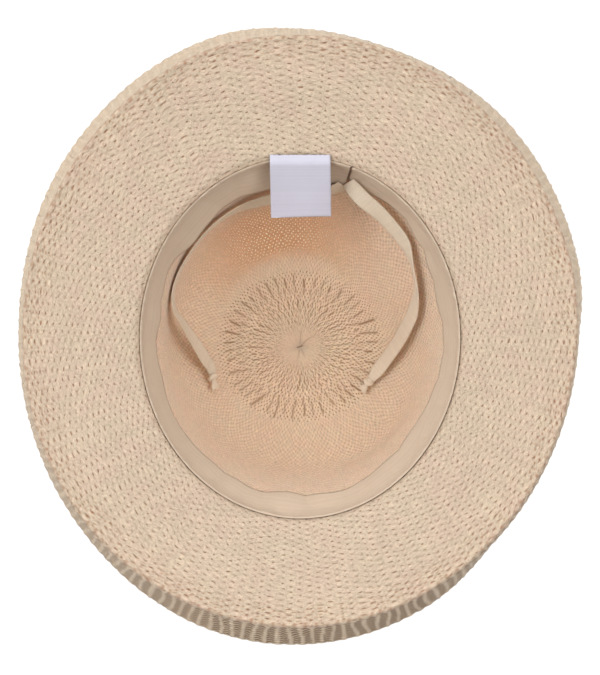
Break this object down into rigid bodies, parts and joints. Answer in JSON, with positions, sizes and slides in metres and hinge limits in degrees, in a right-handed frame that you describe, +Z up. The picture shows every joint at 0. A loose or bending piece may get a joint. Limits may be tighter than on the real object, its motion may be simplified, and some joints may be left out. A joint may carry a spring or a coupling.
{
  "type": "sun hat",
  "caption": "Knitted sun hat lying upside down on its crown, with a wide brim, a turned ribbed rim, an inner sweatband, a bare label and a flat ribbon drawstring.",
  "frame": {"origin": "middle of the crown's flat tip, on the surface that the hat lies on", "axes": "+Z up from that surface and out through the head opening, +Y towards the back of the hat with the label, +X to the hat's side at the right of the picture"},
  "size_m": [0.2986, 0.3252, 0.1083],
  "materials": {
    "crown_knit": "fine knit, matt",
    "brim_knit": "chunky knit, matt",
    "rim_knit": "ribbed knit, matt",
    "sweatband_tape": "close woven tape, faint sheen",
    "label_cloth": "smooth woven label, bare",
    "drawstring_ribbon": "flat woven ribbon, faint sheen"
  },
  "bodies": {
    "root": {"crown": "crown_knit", "brim": "brim_knit", "rim_band": "rim_knit", "sweatband": "sweatband_tape", "label": "label_cloth", "drawstring_right": "drawstring_ribbon", "drawstring_left": "drawstring_ribbon", "drawstring_right_knot": "drawstring_ribbon", "drawstring_left_knot": "drawstring_ribbon"}
  },
  "joints": []
}
